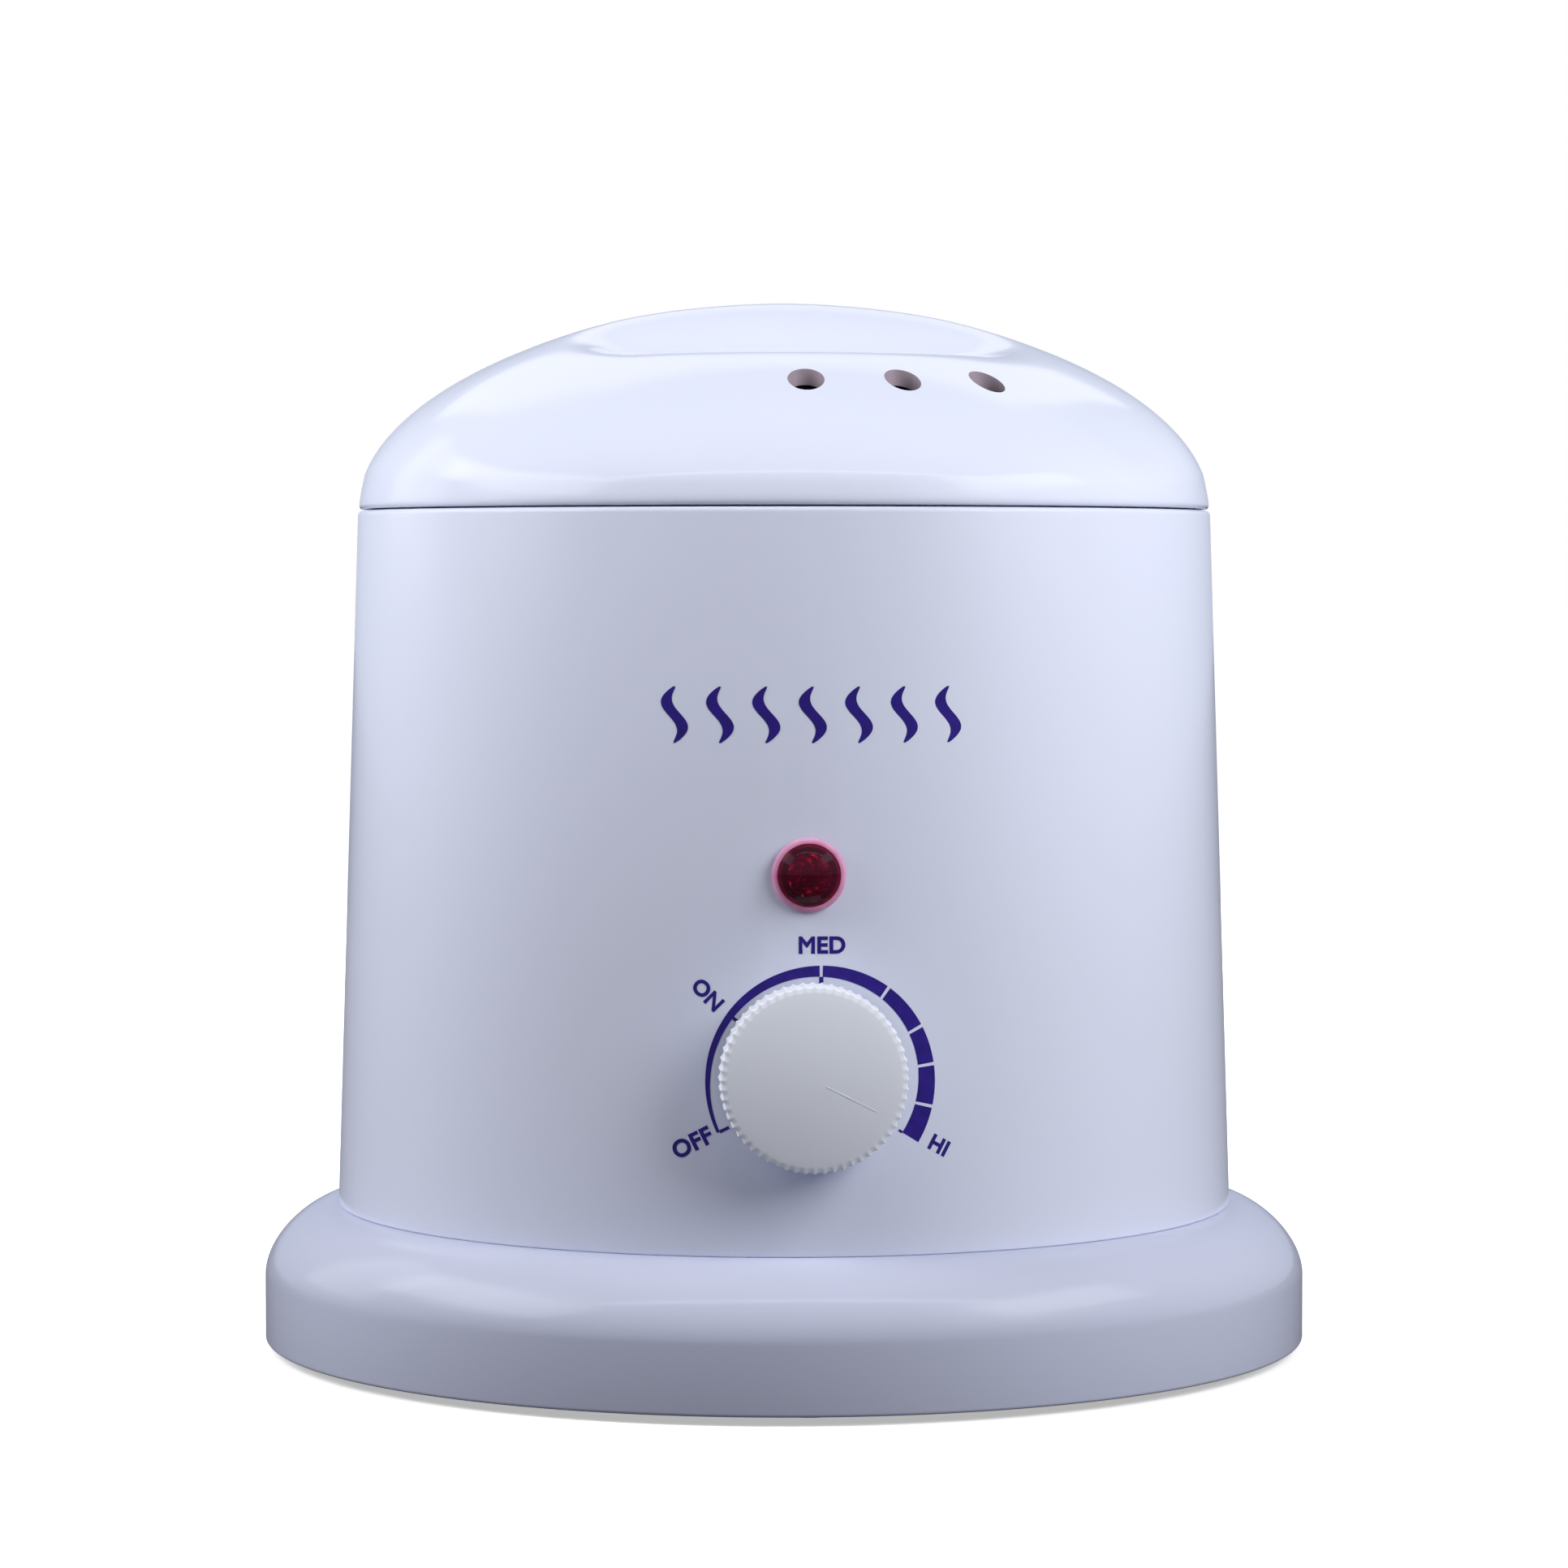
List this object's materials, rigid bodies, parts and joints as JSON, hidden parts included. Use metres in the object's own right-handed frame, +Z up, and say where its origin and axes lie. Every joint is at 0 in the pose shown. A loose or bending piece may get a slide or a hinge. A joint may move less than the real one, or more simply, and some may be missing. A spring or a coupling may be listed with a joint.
{
  "type": "wax warmer pot",
  "caption": "Round salon wax warmer with a domed lid and grip, removable pot with a wire bail, heat control knob and indicator lamp.",
  "frame": {"origin": "on the surface the feet stand on, under the middle of the base", "axes": "+Z up, -Y towards the user (control knob side), +X to the user's right"},
  "size_m": [0.185, 0.185, 0.1849],
  "materials": {
    "lid_plastic": "gloss",
    "shell_plastic": "gloss",
    "base_plastic": "gloss",
    "knob_plastic": "satin",
    "collar_plastic": "satin",
    "lens_plastic": "clear tinted",
    "foot_rubber": "matte",
    "grommet_rubber": "matte",
    "cup_aluminium": "satin",
    "pot_aluminium": "polished",
    "plated_steel": "bright",
    "contact_brass": "bright",
    "phenolic": "matte",
    "mica_band": "matte",
    "glass_fibre": "fibrous",
    "lamp_glass": "clear",
    "fuse_metal": "satin",
    "block_nylon": "satin",
    "brown_insulation": "matte",
    "blue_insulation": "matte",
    "green_insulation": "matte",
    "white_insulation": "matte"
  },
  "bodies": {
    "housing": {"outer_shell": "shell_plastic", "base_flange": "base_plastic", "bottom_plate": "base_plastic", "top_collar": "collar_plastic", "indicator_lens": "lens_plastic", "rubber_feet": "foot_rubber", "cord_grommet": "grommet_rubber", "heating_chamber": "cup_aluminium", "thermostat_bracket": "cup_aluminium", "bottom_screws": "plated_steel", "shell_screws": "plated_steel", "chamber_screws": "plated_steel", "bracket_screws": "plated_steel", "heater_clamp": "plated_steel", "clamp_screw": "plated_steel", "clamp_nut": "plated_steel", "bushing_washer": "plated_steel", "bushing_nut": "plated_steel", "indicator_clip": "plated_steel", "fuse_clip": "plated_steel", "earth_screw": "plated_steel", "thermostat_tabs": "contact_brass", "earth_tag": "contact_brass", "terminal_screws": "contact_brass", "thermostat_body": "phenolic", "heater_band": "mica_band", "insulation_sleeve": "glass_fibre", "neon_lamp": "lamp_glass", "thermal_fuse": "fuse_metal", "terminal_block": "block_nylon", "live_wire": "brown_insulation", "thermostat_wire": "brown_insulation", "heater_wire": "white_insulation", "neutral_wire": "blue_insulation", "earth_wire": "green_insulation", "lamp_leads": "white_insulation"},
    "knob": {"control_knob": "knob_plastic", "thermostat_spindle": "contact_brass"},
    "pot": {"wax_pot": "pot_aluminium", "pot_ears": "plated_steel", "ear_rivets": "cup_aluminium"},
    "bail": {"bail_handle": "plated_steel"},
    "cover": {"lid": "lid_plastic"}
  },
  "joints": [
    {"name": "knob_turn", "type": "hinge", "parent": "housing", "child": "knob", "pos_m": [0.00045, -0.08, 0.0554], "axis": [0, 1, 0], "range_deg": [-233, 5]},
    {"name": "pot_lift", "type": "slide", "parent": "housing", "child": "pot", "axis": [0, 0, 1], "range_m": [0, 0.13]},
    {"name": "lid_lift", "type": "slide", "parent": "pot", "child": "cover", "axis": [0, 0, 1], "range_m": [0, 0.25]},
    {"name": "bail_swing", "type": "hinge", "parent": "pot", "child": "bail", "pos_m": [0, 0, 0.1502], "axis": [1, 0, 0], "range_deg": [0, 180]}
  ],
  "couplings": [
    {"joint": "bail_swing", "follows": "lid_lift", "rad_per_m": 12.5}
  ]
}
